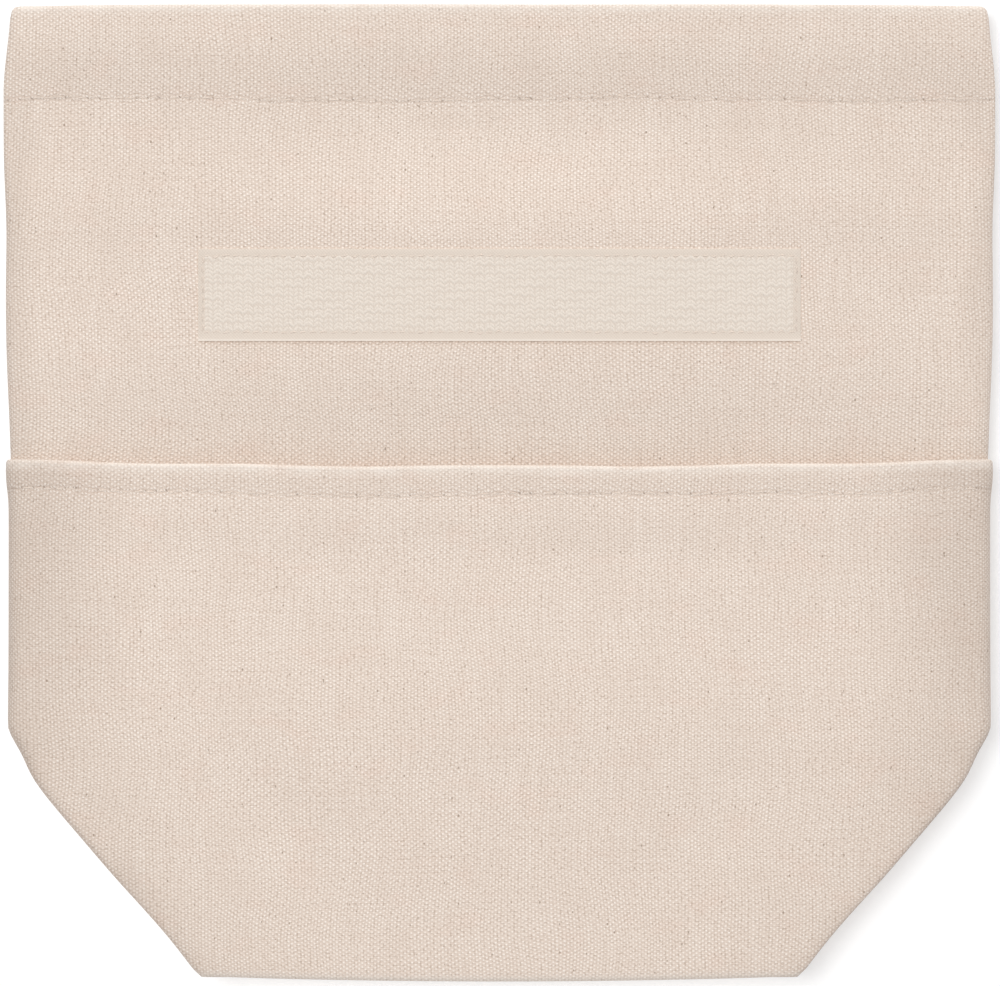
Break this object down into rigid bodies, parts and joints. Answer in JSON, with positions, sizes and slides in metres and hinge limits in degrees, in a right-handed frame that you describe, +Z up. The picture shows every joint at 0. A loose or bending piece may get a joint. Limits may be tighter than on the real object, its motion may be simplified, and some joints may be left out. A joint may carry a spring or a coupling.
{
  "type": "insulated bag",
  "caption": "Insulated canvas bag lying flat: padded walls, folded boxed base, wide front pocket and a top that folds over twice and closes with hook-and-loop tape.",
  "frame": {"origin": "middle of the bag's footprint on the surface it lies on, under its centre line", "axes": "+X across the bag to the right seen from the front, +Y from the bottom fold to the mouth, +Z up, out of the front wall"},
  "size_m": [0.2696, 0.2644, 0.0175],
  "materials": {
    "canvas": "matte",
    "pocket_canvas": "matte",
    "foam": "matte",
    "lining": "satin",
    "loop_tape": "matte",
    "hook_tape": "matte"
  },
  "bodies": {
    "root": {"front_canvas": "canvas", "back_canvas": "canvas", "base_canvas": "canvas", "front_foam": "foam", "back_foam": "foam", "base_foam": "foam", "front_lining": "lining", "back_lining": "lining", "base_lining": "lining", "loop_tape": "loop_tape"},
    "roll_band": {"roll_front_canvas": "canvas", "roll_front_foam": "foam", "roll_front_lining": "lining", "roll_back_canvas": "canvas", "roll_back_foam": "foam", "roll_back_lining": "lining"},
    "hem_band": {"hem_front_canvas": "canvas", "hem_front_lining": "lining", "hem_back_canvas": "canvas", "hem_back_lining": "lining", "hook_tape": "hook_tape"},
    "pocket": {"pocket_panel": "pocket_canvas"}
  },
  "joints": [
    {"name": "second_fold", "type": "hinge", "parent": "root", "child": "roll_band", "pos_m": [0, 0.0702, 0.0174], "axis": [1, 0, 0], "range_deg": [0, 180]},
    {"name": "first_fold", "type": "hinge", "parent": "roll_band", "child": "hem_band", "pos_m": [0, 0.1012, 0.01095], "axis": [1, 0, 0], "range_deg": [0, 180]},
    {"name": "pocket_open", "type": "hinge", "parent": "root", "child": "pocket", "pos_m": [0, -0.1312, 0.0118], "axis": [1, 0, 0], "range_deg": [0, 10]}
  ]
}
